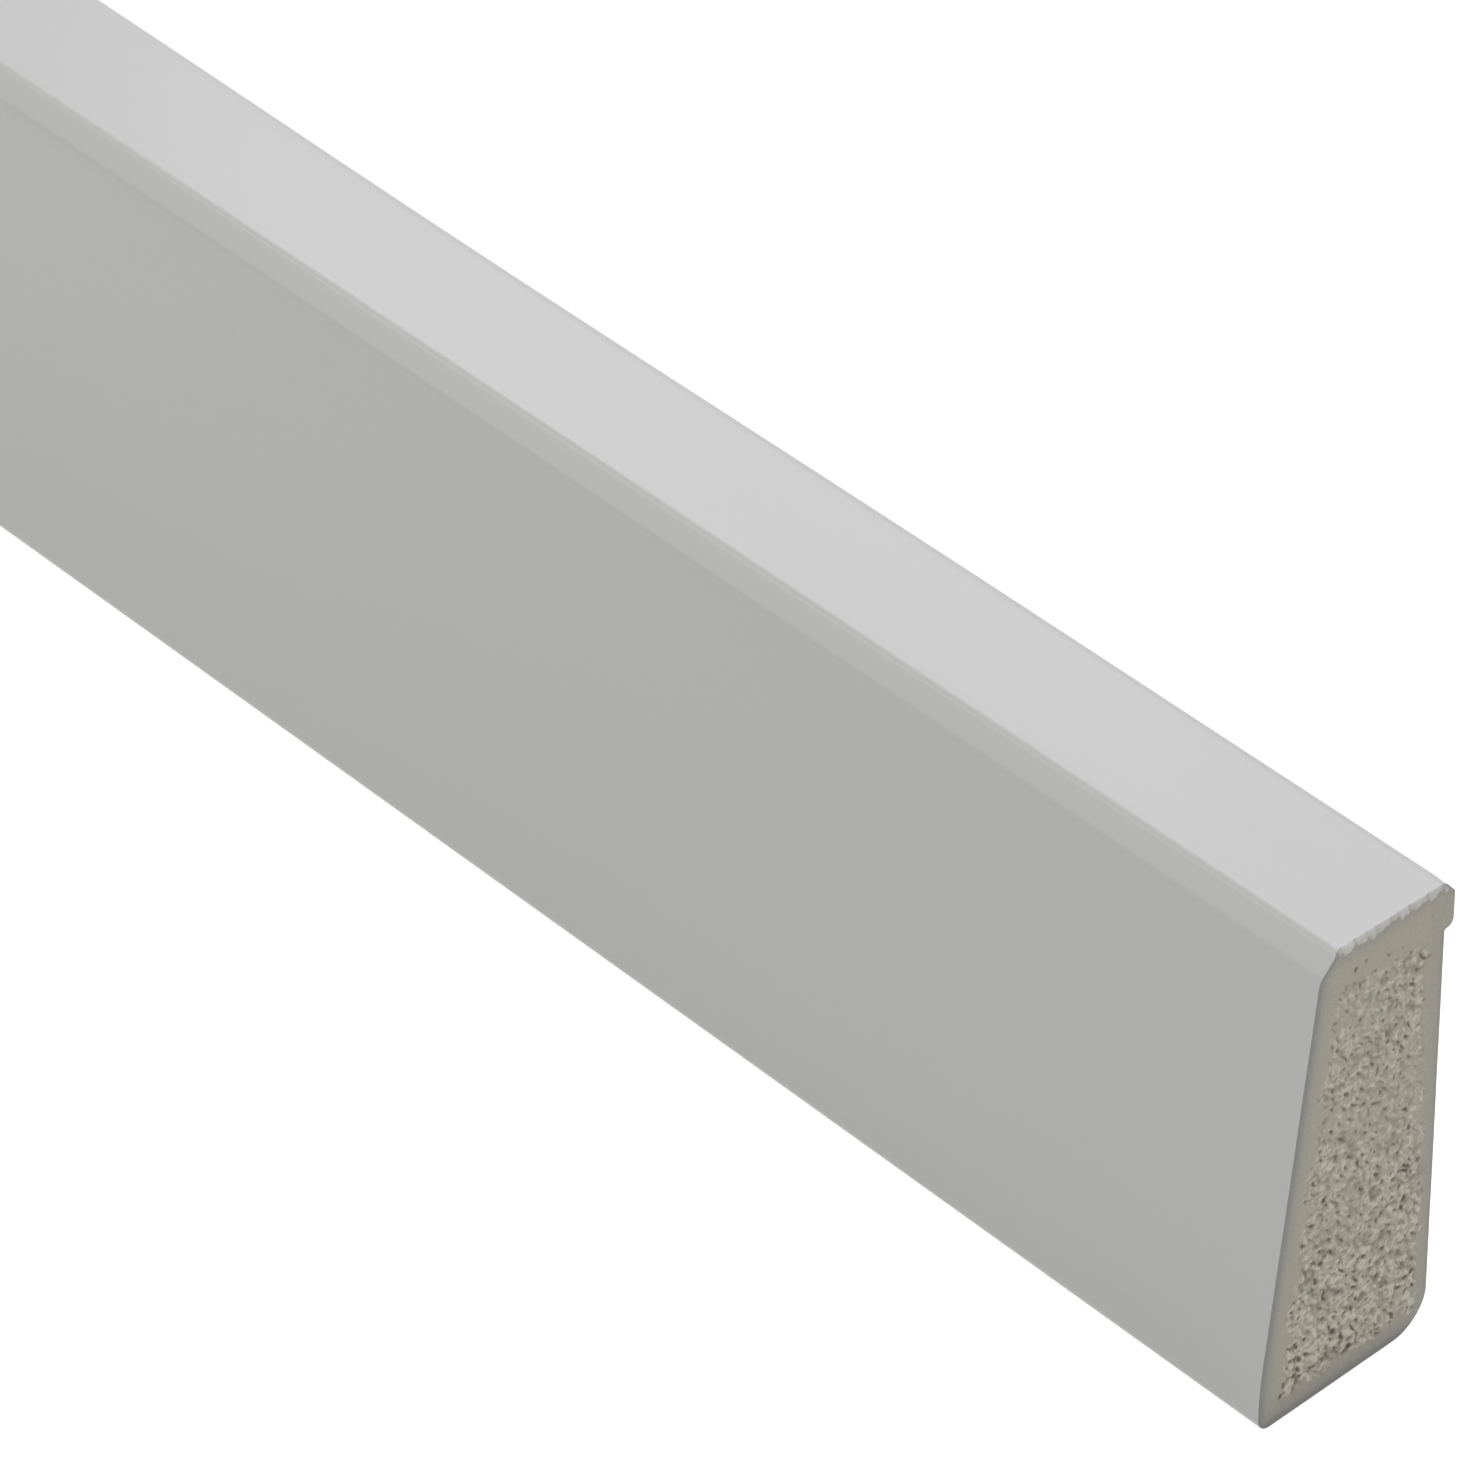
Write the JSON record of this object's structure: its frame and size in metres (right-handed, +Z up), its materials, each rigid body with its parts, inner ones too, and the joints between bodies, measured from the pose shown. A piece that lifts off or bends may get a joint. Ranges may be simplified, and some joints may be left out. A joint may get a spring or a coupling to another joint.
{
  "type": "skirting board",
  "caption": "Length of foamed plastic skirting board: leaning front face, bevelled shoulder, flat top, rear top lip and rounded heel.",
  "frame": {"origin": "on the floor plane under the foot, at the middle of the length and of the overall depth", "axes": "+X along the board, +Y towards the wall (-Y faces the room), +Z up"},
  "size_m": [2.4, 0.0216, 0.05],
  "materials": {
    "foamed_plastic": "smooth satin light grey skin, beige-grey cellular core at the sawn ends"
  },
  "bodies": {
    "root": {"skirting_board": "foamed_plastic"}
  },
  "joints": []
}
